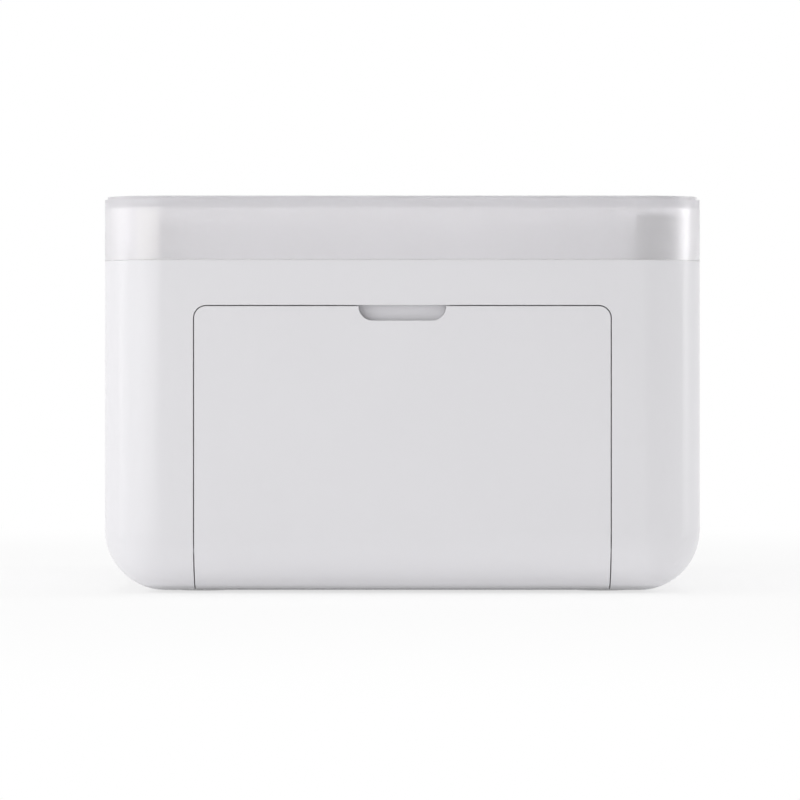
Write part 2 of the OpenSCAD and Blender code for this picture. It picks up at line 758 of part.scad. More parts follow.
// The frosted lid: one shell, hinged on two pins in its far wall
module top_lid() color(frost) difference() {
    union() {
        difference() {
            union() {
                translate([0, 0, z_lid]) linear_extrude(z_top - lid_edge - z_lid) case_plan(0);
                translate([0, 0, z_top - lid_edge - 0.01]) linear_extrude(lid_edge + 0.01)
                    case_plan(lid_edge);
            }
            translate([0, 0, z_lid - 1]) linear_extrude(z_lid_in - z_lid + 1)
                case_plan(lid_wall);
        }
        for (s = [-1, 1]) along_x(s * lid_hinge_x - lid_lug_w / 2 - lid_knuckle_w,
            s * lid_hinge_x + lid_lug_w / 2 + lid_knuckle_w) {
            translate(lid_axis) circle(lid_hinge_r);
            translate([lid_axis[0] - lid_hinge_r, lid_axis[1]])
                square([2 * lid_hinge_r, 3]);
        }
    }
    for (s = [-1, 1]) translate([s * lid_hinge_x - lid_lug_w / 2 - part_fit, lid_axis[0] - 4,
        z_lid - 1]) cube([lid_lug_w + 2 * part_fit, 8, lid_axis[1] + lid_lug_r + 0.4 - z_lid + 1]);
    difference() {
        translate([-hx, lid_axis[0], z_lid - 1]) cube([2 * hx, 5, lid_axis[1] - z_lid + 1]);
        along_x(-hx, hx) translate(lid_axis) circle(lid_hinge_r);
    }
    lid_pin_bores(lid_lug_w + 9, 0);
}

module lid_hinge_pins() color(steel)
    for (s = [-1, 1]) translate([s * lid_hinge_x, lid_axis[0], lid_axis[1]]) rotate([0, 90, 0])
        cylinder(r = lid_pin_r, h = lid_lug_w + 8.6, center = true);

module cartridge_door() color(case_white) difference() {
    intersection() {
        at_front_face()
            wrap_door(door_w, door_hinge, door_lip_r, door_boss_r, z_under + door_top);
        along_y(-hy - 1, 0) door_front(0);
    }
    along_y(-hy - 1, -hy + wall + 1) notch_front();
}

module door_hinge_pins() color(steel) at_front_face() stub_pins(door_w, door_hinge);

module slot_flap() color(case_white)
    at_left_face(paper_mid_y)
        wrap_door(flap_w, flap_hinge, flap_lip_r, flap_lip_r, z_under + flap_top);

module slot_flap_pins() color(steel)
    at_left_face(paper_mid_y) stub_pins(flap_w, flap_hinge);

module runout_flap() color(case_white) {
    axis = [hx - runout_p, runout_hinge_z];
    along_y(paper_mid_y - runout_w / 2, paper_mid_y + runout_w / 2) {
        translate(axis) circle(runout_p - 0.1);
        translate([hx - 0.1 - runout_t, runout_z[0]])
            square([runout_t, runout_hinge_z - runout_z[0]]);
    }
    rod(axis, runout_pin_r, paper_mid_y - runout_w / 2 - runout_pin_l,
        paper_mid_y + runout_w / 2 + runout_pin_l);
}

// Steel pan that joins the two side plates
module chassis_pan() color(steel) difference() {
    translate([pan_x[0], plates_from, pan_z])
        cube([pan_x[1] - pan_x[0], plates_to - plates_from, pan_t]);
    for (x = pan_screw_x, y = pan_screw_y)
        translate([x, y, pan_z - 1]) cylinder(r = screw_r + screw_fit, h = pan_t + 2);
}

// Outline of both side plates
module side_plate_shape() {
    polygon([[plate_x[0] + plate_cut, pan_z], [plate_x[1] - plate_cut, pan_z],
        [plate_x[1], pan_z + plate_cut], [plate_x[1], plate_top], [plate_x[0], plate_top],
        [plate_x[0], pan_z + plate_cut]]);
}

module bush_bores(y) {
    for (p = bush_places) rod(p, bush_r, y - 1, y + plate_t + 1);
    rod(pinch_at, pinch_shaft_r + run_fit, y - 1, y + plate_t + 1);
    rod(cam_at, cam_shaft_r + run_fit, y - 1, y + plate_t + 1);
    rod(arm_at, arm_shaft_r, y - 1, y + plate_t + 1);
}

module tie_holes(y) {
    for (p = tie_places) rod(p, tie_end_r, y - 1, y + plate_t + 1);
}

module front_side_plate() color(steel) difference() {
    along_y(front_plate_y, front_plate_y + plate_t) difference() {
        side_plate_shape();
        cartridge_front(1);
    }
    bush_bores(front_plate_y);
    tie_holes(front_plate_y);
}

module gear_side_plate() color(steel) difference() {
    along_y(gear_plate_y, gear_plate_y + plate_t) side_plate_shape();
    bush_bores(gear_plate_y);
    tie_holes(gear_plate_y);
    for (p = [takeup_at, supply_at])
        rod(p, shaft_r + run_fit, gear_plate_y - 1, gear_plate_y + plate_t + 1);
}

// Rods that space the plates: tie rods with turned-down ends, the motor plate's standoffs and
// the studs that the idlers turn on
module chassis_rods() color(steel) {
    for (p = tie_places) {
        rod(p, tie_r, plates_from, plates_to);
        rod(p, tie_end_r - 0.02, front_plate_y, gear_plate_y + plate_t);
    }
    for (p = standoff_places) rod(p, standoff_r, gear_plate_y + plate_t, motor_plate_y);
    for (p = [feed_idler_at, pickup_idler_at, compound_at])
        rod(p, stud_r, gear_plate_y + plate_t, motor_plate_y);
}

module motor_plate() color(steel) difference() {
    along_y(motor_plate_y, motor_plate_y + plate_t) side_plate_shape();
    rod(motor_at, motor_boss_r + 0.1, motor_plate_y - 1, motor_plate_y + plate_t + 1);
    rod(cam_pinion_at, motor_boss_r + 0.1, motor_plate_y - 1, motor_plate_y + plate_t + 1);
    rod(cam_at, cam_shaft_r + run_fit, motor_plate_y - 1, motor_plate_y + plate_t + 1);
    rod(takeup_at, shaft_r + run_fit, motor_plate_y - 1, motor_plate_y + plate_t + 1);
}

// Flanged bushes of the three rollers, one in each side plate
module roller_bushes() color(natural) for (p = bush_places) {
    difference() {
        union() {
            rod(p, bush_r, front_plate_y, plates_from);
            rod(p, bush_flange_r, front_plate_y - bush_flange_t, front_plate_y);
        }
        rod(p, shaft_r + run_fit, front_plate_y - 2, plates_from + 1);
    }
    difference() {
        union() {
            rod(p, bush_r, gear_plate_y, gear_plate_y + plate_t);
            rod(p, bush_flange_r, gear_plate_y + plate_t, gear_plate_y + plate_t + bush_flange_t);
        }
        rod(p, shaft_r + run_fit, gear_plate_y - 1, gear_plate_y + plate_t + 3);
    }
}

// A gear outline of the given module and tooth count, centred, with a tooth at angle phase
module gear_shape(m, teeth, phase) {
    rp = m * teeth / 2;
    base = rp * cos(20);
    tip = rp + 0.92 * m;
    root = rp - 1.2 * m;
    start = max(base, root + 0.1 * m);
    half = 90 / teeth - backlash / (2 * rp) * 180 / PI + involute(base, rp);
    steps = [for (i = [0 : 3]) start + (tip - start) * i / 3];
    points = [for (k = [0 : teeth - 1]) let (a = phase + k * 360 / teeth) each concat(
        [[root, a - half]],
        [for (r = steps) [r, a - half + involute(base, r)]],
        [for (i = [3 : -1 : 0]) [steps[i], a + half - involute(base, steps[i])]],
        [[root, a + half]])];
    polygon([for (p = points) [p[0] * cos(p[1]), p[0] * sin(p[1])]]);
}

module gear(at, m, teeth, phase, y0, bore) {
    difference() {
        along_y(y0, y0 + gear_face) translate(at) gear_shape(m, teeth, phase);
        rod(at, bore, y0 - 1, y0 + gear_face + 1);
    }
}

module hub(at, r, bore, y0, y1) {
    difference() {
        rod(at, r, y0, y1);
        rod(at, bore, y0 - 1, y1 + 1);
    }
}

module roller_shaft(at) {
    rod(at, shaft_r, front_plate_y - 1.4, layer_1_y + gear_face + 0.6);
}

module roller(at, r) {
    rod(at, r, plates_from + roller_neck, plates_to - roller_neck);
    roller_shaft(at);
}

module platen_roller() color(dark) roller(platen_at, platen_r);
module platen_gear() color(natural)
    gear(platen_at, gear_m, platen_teeth, platen_phase, layer_1_y, shaft_r);

module capstan_roller() color(steel) roller(capstan_at, capstan_r);
module capstan_gear() color(natural)
    gear(capstan_at, gear_m, capstan_teeth, capstan_phase, layer_1_y, shaft_r);

module pinch_roller() color(grey) {
    rod(pinch_at, pinch_r, plates_from + roller_neck, plates_to - roller_neck);
    rod(pinch_at, pinch_shaft_r, front_plate_y - 1, gear_plate_y + plate_t + 1);
}

// D-shaped pickup roller: its flat is up at rest, so that a print can pass
module pickup_roller() color(dark) {
    roller_shaft(pickup_at);
    difference() {
        rod(pickup_at, pickup_r, paper_mid_y - pickup_w / 2, paper_mid_y + pickup_w / 2);
        translate([pickup_at[0] - pickup_r, paper_mid_y - pickup_w / 2 - 1,
            pickup_at[1] + pickup_flat]) cube([2 * pickup_r, pickup_w + 2, pickup_r]);
    }
}
module pickup_gear() color(natural)
    gear(pickup_at, gear_m, pickup_teeth, pickup_phase, layer_1_y, shaft_r);

module feed_idler() color(natural) {
    gear(feed_idler_at, gear_m, feed_idler_teeth, feed_idler_phase, layer_1_y, stud_r + run_fit);
    hub(feed_idler_at, hub_r, stud_r + run_fit, layer_1_y + gear_face, motor_plate_y - 0.4);
}

module pickup_idler() color(natural) {
    gear(pickup_idler_at, gear_m, pickup_idler_teeth, pickup_idler_phase, layer_1_y,
        stud_r + run_fit);
    hub(pickup_idler_at, hub_r, stud_r + run_fit, layer_1_y + gear_face, motor_plate_y - 0.4);
}

module compound_gear() color(natural) {
    gear(compound_at, gear_m, small_teeth, compound_phase, layer_1_y, stud_r + run_fit);
    gear(compound_at, gear_m, large_teeth, compound_phase, layer_2_y, stud_r + run_fit);
    hub(compound_at, hub_r, stud_r + run_fit, layer_1_y + gear_face - 0.01, layer_2_y + 0.01);
}

module motor_pinion() color("goldenrod") {
    gear(motor_at, gear_m, pinion_teeth, pinion_phase, layer_2_y, motor_shaft_r - 0.01);
    rod(motor_at, motor_shaft_r, layer_2_y - 0.5, motor_plate_y + plate_t + 4);
}

// A motor can with a blind bore for its shaft
module motor(at, r, l) {
    y0 = motor_plate_y + plate_t;
    difference() {
        union() {
            rod(at, r, y0, y0 + l);
            rod(at, motor_boss_r, y0 - motor_boss_h, y0 + 1);
        }
        rod(at, motor_shaft_r + run_fit, y0 - 2, y0 + 5);
    }
}

module main_motor() color(steel) motor(motor_at, motor_r, motor_l);
module cam_motor() color(steel) motor(cam_pinion_at, cam_motor_r, cam_motor_l);

// Cam shaft: the two eccentrics press the arm's tails at rest, which holds the head up
module cam_shaft() color(steel) {
    rod(cam_at, cam_shaft_r, front_plate_y, motor_plate_y + plate_t + 0.5);
    centre = [cam_at[0] - cam_throw, cam_at[1]];
    rod(centre, cam_r, plates_from + arm_end_gap - 0.6, plates_from + arm_end_gap - 0.6 + cam_w);
    rod(centre, cam_r, plates_to - arm_end_gap + 0.6 - cam_w, plates_to - arm_end_gap + 0.6);
}
module cam_gear() color(natural) gear(cam_at, cam_m, cam_teeth, 0, layer_2_y, cam_shaft_r);

module cam_pinion() color("goldenrod") {
    gear(cam_pinion_at, cam_m, cam_pinion_teeth, cam_pinion_phase, layer_2_y,
        motor_shaft_r - 0.01);
    rod(cam_pinion_at, motor_shaft_r, layer_2_y - 0.5, motor_plate_y + plate_t + 4);
}

module arm_shaft() color(steel)
    rod(arm_at, arm_shaft_r, front_plate_y - 0.8, gear_plate_y + plate_t + 0.8);

// Torsion springs wound round the arm shaft inside the ears, that press the head down
module head_springs() color(steel) {
    mean_r = arm_shaft_r + spring_wire_r + 0.1;
    pitch = 1.9 * spring_wire_r;
    length = (spring_turns - 1) * pitch;
    ear = arm_end_gap + arm_t + spring_wire_r + 0.3;
    for (y0 = [plates_from + ear, plates_to - ear - length], i = [0 : spring_turns - 1])
        translate([arm_at[0], y0 + i * pitch, arm_at[1]]) rotate([90, 0, 0])
            rotate_extrude() translate([mean_r, 0]) circle(spring_wire_r);
}

// Three crossed bars about an axis along Y, out to reach
module ribs(at, reach, half_w, y0, y1) {
    for (a = [0 : 60 : 120]) translate([at[0], 0, at[1]]) rotate([0, a, 0])
        translate([-reach, y0, -half_w]) cube([2 * reach, y1 - y0, 2 * half_w]);
}

// Spindles through the gear side plate: a ribbed nose that turns the spool's core
module spindle(at, y_back) {
    nose = cartridge_y[1] - spindle_l;
    rod(at, shaft_r, plates_to - 1, y_back);
    rod(at, spindle_r, nose, plates_to - 1);
    ribs(at, core_bore + rib_reach, rib_half_w, nose, plates_to - 1);
}

module takeup_spindle() color(natural) {
    spindle(takeup_at, motor_plate_y + plate_t + 0.5);
    gear(takeup_at, gear_m, takeup_teeth, takeup_phase, layer_1_y, shaft_r - 0.01);
}

module supply_spindle() color(natural) {
    spindle(supply_at, layer_1_y + gear_face + 0.5);
    rod(supply_at, 6, layer_1_y, layer_1_y + 2.5);
}

// Turns a shape drawn with the head down on the ribbon to its lifted place
module lifted() {
    translate([arm_at[0], 0, arm_at[1]]) rotate([0, head_angle, 0])
        translate([-arm_at[0], 0, -arm_at[1]]) children();
}

// Head arm: a bent sheet with an ear at each end, drawn with the head lifted
module head_arm() color(steel) {
    y0 = plates_from + arm_end_gap;
    y1 = plates_to - arm_end_gap;
    translate([-sink_w / 2 - 1.5, y0, arm_top_z]) cube([arm_x + 12, y1 - y0, arm_t]);
    for (y = [y0, y1 - arm_t]) difference() {
        along_y(y, y + arm_t) {
            translate([arm_x - 6, arm_at[1] - 1]) square([10.5, arm_top_z + 0.01 - arm_at[1] + 1]);
            translate(arm_at) circle(4.5);
            translate([tail_x - tail_w, cam_at[1] - cam_r])
                square([tail_w, arm_at[1] - cam_at[1] + cam_r]);
        }
        rod(arm_at, arm_shaft_r + run_fit, y - 1, y + arm_t + 1);
    }
}

// Finned block between the arm's sheet and the thermal head
module heat_sink() color([0.75, 0.76, 0.78]) {
    base_z = head_down_z + head_ridge[1] + head_ceramic_t;
    difference() {
        lifted() difference() {
            translate([-sink_w / 2, sink_y[0], base_z])
                cube([sink_w, sink_y[1] - sink_y[0], arm_top_z - base_z]);
            for (i = [0 : 3], s = [-1, 1]) translate([s * sink_w / 2, paper_mid_y,
                base_z + 6 + i * 5]) cube([7, sink_y[1] - sink_y[0] + 2, 2.2], center = true);
        }
        translate([-2 * sink_w, sink_y[0] - 1, arm_top_z])
            cube([4 * sink_w, sink_y[1] - sink_y[0] + 2, 10]);
    }
}

module thermal_head() color(natural) lifted() {
    translate([-sink_w / 2 + 0.5, sink_y[0], head_down_z + head_ridge[1]])
        cube([sink_w - 1, sink_y[1] - sink_y[0], head_ceramic_t]);
    translate([-head_ridge[0] / 2, sink_y[0], head_down_z])
        cube([head_ridge[0], sink_y[1] - sink_y[0], head_ridge[1] + 0.01]);
}

// Cartridge: two slotted spool tubes joined at the handle end. Each has a lip that the film
// turns under, and a stub that its spool turns on
function film_corner(s) = [s * lip_x[1], z_film];
// Where the line from a tube's lip touches a roll of radius r, on its underside
function film_leaves(s, r) =
    let (at = [s * spool_x, takeup_at[1]], d = film_corner(s) - at,
        a = atan2(d[1], d[0]) + s * acos(r / norm(d)))
    at + r * [cos(a), sin(a)];
module tube_shape(s, r) {
    at = [s * spool_x, takeup_at[1]];
    from = film_leaves(s, r);
    run = film_corner(s) - from;
    difference() {
        translate(at) circle(tube_r);
        translate(at) circle(tube_r - tube_wall);
        translate(from) rotate(atan2(run[1], run[0])) translate([0, -film_slot / 2])
            square([sqrt(tube_r * tube_r - r * r) + 1, film_slot]);
    }
    translate([s > 0 ? lip_x[0] : -lip_x[1], z_film + film_t])
        square([lip_x[1] - lip_x[0], 9.8]);
}

module cartridge_shell() color(dark) {
    along_y(cartridge_y[0] + flange_t - 0.01, cartridge_y[1]) {
        tube_shape(-1, supply_roll_r);
        tube_shape(1, takeup_roll_r);
    }
    along_y(cartridge_y[0], cartridge_y[0] + flange_t) cartridge_front(0);
    for (p = [supply_at, takeup_at])
        rod(p, core_stub_r, cartridge_y[0] + flange_t - 0.01, cartridge_y[0] + flange_t + core_stub_l);
}

// Film from just off one roll, under both lips and across the head, to the other roll
module ribbon_film() color([0.75, 0.55, 0.1]) {
    path = [film_leaves(-1, supply_roll_r + part_fit), film_corner(-1), film_corner(1),
        film_leaves(1, takeup_roll_r + part_fit)];
    along_y(ribbon_y[0], ribbon_y[1]) polygon(concat(path,
        [for (i = [3 : -1 : 0]) path[i] + [0, film_t]]));
}

// A spool: core with ribbon wound on it, bored for its stub and grooved for its spindle
module spool(at, roll_r) {
    y0 = cartridge_y[0] + flange_t + 1;
    y1 = cartridge_y[1];
    difference() {
        union() {
            rod(at, core_r, y0, y1 - 0.5);
            rod(at, roll_r, ribbon_y[0], ribbon_y[1]);
        }
        rod(at, core_bore, y1 - core_bore_l, y1 + 1);
        rod(at, core_stub_r + run_fit, y0 - 1, y0 + core_stub_l);
        ribs(at, core_bore + rib_reach + rib_fit, rib_half_w + rib_fit, y1 - core_bore_l, y1 + 1);
    }
}
module supply_spool() color([0.75, 0.55, 0.1]) spool(supply_at, supply_roll_r);
module takeup_spool() color([0.45, 0.3, 0.3]) spool(takeup_at, takeup_roll_r);

// Beds that carry the paper between the rollers, on legs from the pan
module paper_guide() color(dark) {
    y0 = plates_from + 2;
    y1 = plates_to - 2;
    leg_z = pan_z + pan_t;
    bed_z = z_path - guide_drop - guide_t;
    for (b = guide_beds) translate([b[0], y0, bed_z]) cube([b[1] - b[0], y1 - y0, guide_t]);
    for (y = [y0, y1 - guide_leg_w]) {
        for (x = guide_legs) translate([x, y, leg_z])
            cube([guide_leg_w, guide_leg_w, bed_z + 0.01 - leg_z]);
        translate([guide_legs[0], y, leg_z])
            cube([guide_legs[2] + guide_leg_w - guide_legs[0], guide_leg_w, guide_leg_w]);
    }
}

// Cassette, stowed lengthwise in the deck's well
module cassette_tray() color(grey) {
    w = tray_w;
    l = tray_y[1] - tray_y[0];
    difference() {
        union() {
            translate([-w / 2, tray_y[0], tray_z]) cube([w, l, tray_top - cover_t - 0.1 - tray_z]);
            for (s = [-1, 1]) translate([s > 0 ? w / 2 - 0.01 : -w / 2 - rail_w + 0.01,
                tray_y[0] + 6, tray_z + 3]) cube([rail_w, l - 12, 2.5]);
        }
        translate([-w / 2 + tray_wall, tray_y[0] + tray_wall, tray_z + tray_floor])
            cube([w - 2 * tray_wall, l - 2 * tray_wall, 30]);
        translate([-20, tray_y[0] + 16, tray_z - 1]) cube([40, 14, 4]);
        lift_axis_bore();
    }
}

module cassette_cover() color(frost)
    translate([-tray_w / 2, tray_y[0] + cover_from, tray_top - cover_t])
        cube([tray_w, tray_y[1] - tray_y[0] - cover_from, cover_t]);

module lift_axis_bore() {
    translate([0, lift_axis[0], lift_axis[1]]) rotate([0, 90, 0])
        cylinder(r = lift_pin_r + run_fit, h = tray_w - 2 * tray_wall + 3.6, center = true);
}

module lift_plate() color(steel) {
    w = tray_w - 2 * tray_wall - 1;
    from = tray_y[0] + tray_wall + 0.8;
    translate([-w / 2, from, tray_z + tray_floor + lift_gap]) cube([w, lift_axis[0] - from, lift_t]);
    translate([0, lift_axis[0], lift_axis[1]]) rotate([0, 90, 0])
        cylinder(r = lift_pin_r, h = tray_w - 2 * tray_wall + 3, center = true);
}

module paper_stack() color("white")
    translate([-paper_w / 2, tray_y[0] + tray_wall + 1, tray_z + tray_floor + lift_gap + lift_t])
        cube([paper_w, paper_l, stack_h]);

// Electrics at the far end
module main_board() color("darkgreen") {
    translate([-board_half, board_y, z_under + 8]) cube([2 * board_half, board_t, 50]);
    for (c = [[-30, 20, 14, 14], [-6, 30, 18, 18], [22, 22, 12, 10], [-44, 42, 24, 14]])
        translate([c[0], board_y - 1.4, z_under + c[1]]) cube([c[2], 1.41, c[3]]);
}

module dc_jack() color(dark) difference() {
    union() {
        translate([hx - wall - part_fit - jack_box[0], jack_y - jack_box[1] / 2,
            jack_z - jack_box[2] / 2]) cube(jack_box);
        translate([hx - wall - 1, jack_y, jack_z]) rotate([0, 90, 0])
            cylinder(r = jack_r, h = wall + 1 - 0.3);
    }
    translate([hx - 0.3 - jack_bore_l, jack_y, jack_z]) rotate([0, 90, 0]) difference() {
        cylinder(r = jack_bore_r, h = jack_bore_l + 1);
        cylinder(r = jack_pin_r, h = jack_bore_l - 1);
    }
}

module power_button() color(case_white) {
    translate([-hx + 0.1, button_y, button_z]) rotate([0, 90, 0])
        cylinder(r = button_r, h = wall + part_fit);
    translate([-hx + wall + part_fit, button_y, button_z]) rotate([0, 90, 0])
        cylinder(r = button_r + 1, h = button_flange);
}

module power_switch() color(dark)
    translate([-hx + switch_p, button_y - switch_size[1] / 2, button_z - 7]) cube(switch_size);

module light_guide() color(frost)
    translate([-hx + 0.1, button_y, led_z]) rotate([0, 90, 0])
        cylinder(r = led_r, h = switch_p - 0.1);

outer_housing();
top_deck();
rubber_feet();
case_screws();
bay_frame();
door_magnets();
lid_catch();
lid_bumper();
chassis_pan();
front_side_plate();
gear_side_plate();
chassis_rods();
motor_plate();
roller_bushes();
paper_guide();
main_motor();
cam_motor();
main_board();
dc_jack();
power_switch();
light_guide();
arm_shaft();
head_springs();
takeup_spindle();
supply_spindle();
cartridge_door();
door_hinge_pins();
door_strikes();
slot_flap();
slot_flap_pins();
runout_flap();
top_lid();
lid_hinge_pins();
lid_strike();
cassette_tray();
cassette_cover();
lift_plate();
paper_stack();
cartridge_shell();
ribbon_film();
supply_spool();
takeup_spool();
head_arm();
heat_sink();
thermal_head();
cam_shaft();
cam_gear();
cam_pinion();
platen_roller();
platen_gear();
capstan_roller();
capstan_gear();
pinch_roller();
pickup_roller();
pickup_gear();
feed_idler();
pickup_idler();
compound_gear();
motor_pinion();
power_button();
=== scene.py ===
"""Looks of a compact photo printer: finishes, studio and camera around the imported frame."""

import json
import math

import bpy
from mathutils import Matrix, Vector


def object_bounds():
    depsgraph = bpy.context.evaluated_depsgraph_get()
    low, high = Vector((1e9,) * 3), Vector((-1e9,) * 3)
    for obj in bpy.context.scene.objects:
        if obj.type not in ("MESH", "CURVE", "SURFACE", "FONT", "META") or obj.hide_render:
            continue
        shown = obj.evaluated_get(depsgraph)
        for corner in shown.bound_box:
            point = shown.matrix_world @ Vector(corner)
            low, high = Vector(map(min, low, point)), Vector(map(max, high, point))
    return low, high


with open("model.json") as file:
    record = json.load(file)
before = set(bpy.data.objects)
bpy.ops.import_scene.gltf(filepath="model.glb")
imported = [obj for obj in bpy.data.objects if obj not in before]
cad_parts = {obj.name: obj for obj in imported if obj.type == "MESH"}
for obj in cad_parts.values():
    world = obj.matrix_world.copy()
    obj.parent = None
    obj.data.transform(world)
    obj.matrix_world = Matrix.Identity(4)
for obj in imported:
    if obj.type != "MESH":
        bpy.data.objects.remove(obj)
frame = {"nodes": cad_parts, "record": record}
cad_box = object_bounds()
lowest, highest = cad_box
centre = (lowest + highest) / 2

MM = 0.001
WHITE = (1, 1, 1)

# Faces closer than this are welded, and joins gentler than the angle are shaded smooth
JOIN_GAP = 0.001 * MM
CREASE_ANGLE = math.radians(28)

# Every edge is shaded as if it were rounded this much
EDGE_RADIUS = 0.22 * MM
EDGE_SAMPLES = 4

# Cloudy noise seldom leaves this range
NOISE_LOW = 0.3
NOISE_HIGH = 0.7

# Broad clouds in the colour and gloss of mouldings, and in the colour of metals
MOULDING_CLOUDS = 45 * MM
METAL_CLOUDS = 9 * MM
GLOSS_DRIFT = 0.03

# How much smoother and rougher than its mean a metal's tool marks are
MARK_SMOOTHER = 0.08
MARK_ROUGHER = 0.1

# Refraction of the case's plastic and of the acrylic parts
CASE_IOR = 1.5
ACRYLIC_IOR = 1.49

# Share of the lamps' light that each face of a translucent part lets through
LID_LIGHT = 0.7
CLEAR_LIGHT = 0.9

# How fast light is lost on its way through the lid, per metre, and the colour it keeps
LID_DENSITY = 22.0
LID_DEPTH_COLOUR = (0.8, 0.8, 0.82)

# The index bar between two ribbon panels, as shares of the printer's width
BAR_START = 0.47
BAR_END = 0.49

# Camera: level, square to the short end that holds the cartridge door
CAMERA_DISTANCE = 1200 * MM
CAMERA_SIDE = -0.5 * MM
CAMERA_HEIGHT = 40.1 * MM
SENSOR_WIDTH = 36.0
FOCAL_LENGTH = 261.7
NEAREST_SEEN = 0.05
FARTHEST_SEEN = 50

# Light levels: radiance, where 1 shows as white
AMBIENT = 0.47
BACKGROUND = 1.0

# Floor: its shading shows by this share up to one distance and fades out to another
FLOOR_SIZE = 14.0
FLOOR_COLOUR = (0.92, 0.92, 0.92)
SHADED_FLOOR_COLOUR = (0.95, 0.95, 0.95)
SHADOW_SHARE = 0.3
SHADOW_FULL_TO = 0.1
SHADOW_GONE_FROM = 0.55


# ---------------------------------------------------------------- node helpers

def new_finish(name, colour, roughness, metallic=0.0):
    """A material with one Principled surface; returns (material, tree, surface)."""
    material = bpy.data.materials.new(name)
    material.use_nodes = True
    tree = material.node_tree
    surface = tree.nodes["Principled BSDF"]
    surface.inputs["Base Color"].default_value = (*colour, 1)
    surface.inputs["Roughness"].default_value = roughness
    surface.inputs["Metallic"].default_value = metallic
    return material, tree, surface


def node(tree, kind, **settings):
    """A new node with its own settings."""
    made = tree.nodes.new(kind)
    for name, value in settings.items():
        setattr(made, name, value)
    return made


def point(tree, squeeze=(1, 1, 1)):
    """Place on the object in metres; a pattern laid on it is squeezed by these factors."""
    where = node(tree, "ShaderNodeTexCoord")
    mapping = node(tree, "ShaderNodeMapping")
    mapping.inputs["Scale"].default_value = squeeze
    tree.links.new(where.outputs["Object"], mapping.inputs["Vector"])
    return mapping.outputs["Vector"]


def grain(tree, size, detail=2.0, squeeze=(1, 1, 1)):
    """Cloudy noise with cells of that size, from 0 to 1."""
    noise = node(tree, "ShaderNodeTexNoise")
    noise.inputs["Scale"].default_value = 1 / size
    noise.inputs["Detail"].default_value = detail
    tree.links.new(point(tree, squeeze), noise.inputs["Vector"])
    return noise.outputs["Fac"]


def ramp(tree, fac, stops, interpolation="LINEAR"):
    """Colour that follows fac through (place, colour) stops."""
    made = node(tree, "ShaderNodeValToRGB")
    made.color_ramp.interpolation = interpolation
    elements = made.color_ramp.elements
    while len(elements) < len(stops):
        elements.new(1.0)
    for element, (place, colour) in zip(elements, stops):
        element.position = place
        element.color = (*colour, 1)
    tree.links.new(fac, made.inputs["Fac"])
    return made.outputs["Color"]


def shaded(colour, share):
    """The colour made lighter or darker by a share."""
    return tuple(min(1.0, c * (1 + share)) for c in colour)


def tint(tree, surface, colour, fac, spread):
    """Varies the base colour by a share to either side of its own value."""
    stops = [(NOISE_LOW, shaded(colour, -spread)), (NOISE_HIGH, shaded(colour, spread))]
    tree.links.new(ramp(tree, fac, stops), surface.inputs["Base Color"])


def vary_roughness(tree, surface, fac, low, high):
    """Varies the roughness between two values."""
    spread = node(tree, "ShaderNodeMapRange")
    spread.inputs["To Min"].default_value = low
    spread.inputs["To Max"].default_value = high
    tree.links.new(fac, spread.inputs["Value"])
    tree.links.new(spread.outputs["Result"], surface.inputs["Roughness"])


def relief(tree, surface, fac, depth, radius=EDGE_RADIUS):
    """Bump of that depth in metres over slightly rounded edges."""
    edge = node(tree, "ShaderNodeBevel", samples=EDGE_SAMPLES)
    edge.inputs["Radius"].default_value = radius
    bump = node(tree, "ShaderNodeBump")
    bump.inputs["Distance"].default_value = depth
    tree.links.new(fac, bump.inputs["Height"])
    tree.links.new(edge.outputs["Normal"], bump.inputs["Normal"])
    tree.links.new(bump.outputs["Normal"], surface.inputs["Normal"])


def mixed(tree, fac, first, second):
    """Shader that goes from the first to the second as fac goes from 0 to 1."""
    mix = node(tree, "ShaderNodeMixShader")
    tree.links.new(fac, mix.inputs["Fac"])
    tree.links.new(first, mix.inputs[1])
    tree.links.new(second, mix.inputs[2])
    return mix.outputs["Shader"]


def moulding(name, colour, roughness, grain_size, depth, spread=0.015):
    """Moulded plastic with a fine spark-eroded grain; returns (material, tree, surface)."""
    material, tree, surface = new_finish(name, colour, roughness)
    fine = grain(tree, grain_size, detail=3.0)
    broad = grain(tree, MOULDING_CLOUDS)
    tint(tree, surface, colour, broad, spread)
    vary_roughness(tree, surface, broad, roughness - GLOSS_DRIFT, roughness + GLOSS_DRIFT)
    relief(tree, surface, fine, depth)
    return material, tree, surface


def metal(name, colour, roughness, squeeze, mark_size, depth, spread=0.06):
    """Bare metal with tool marks that lie across its squeezed axes."""
    material, tree, surface = new_finish(name, colour, roughness, metallic=1.0)
    marks = grain(tree, mark_size, detail=3.0, squeeze=squeeze)
    clouds = grain(tree, METAL_CLOUDS)
    tint(tree, surface, colour, clouds, spread)
    vary_roughness(tree, surface, marks, roughness - MARK_SMOOTHER, roughness + MARK_ROUGHER)
    relief(tree, surface, marks, depth)
    return material


def see_through(surface, share):
    """Acrylic that shows that share of what lies behind it."""
    surface.inputs["Transmission Weight"].default_value = share
    surface.inputs["IOR"].default_value = ACRYLIC_IOR


def let_light_in(tree, surface, share):
    """Lets that share of the lamps' light through, so that what is inside is lit."""
    path = node(tree, "ShaderNodeLightPath")
    amount = node(tree, "ShaderNodeMath", operation="MULTIPLY")
    amount.inputs[1].default_value = share
    tree.links.new(path.outputs["Is Shadow Ray"], amount.inputs[0])
    passing = node(tree, "ShaderNodeBsdfTransparent")
    shown = mixed(tree, amount.outputs["Value"], surface.outputs["BSDF"], passing.outputs["BSDF"])
    tree.links.new(shown, tree.nodes["Material Output"].inputs["Surface"])


# ---------------------------------------------------------------- finishes

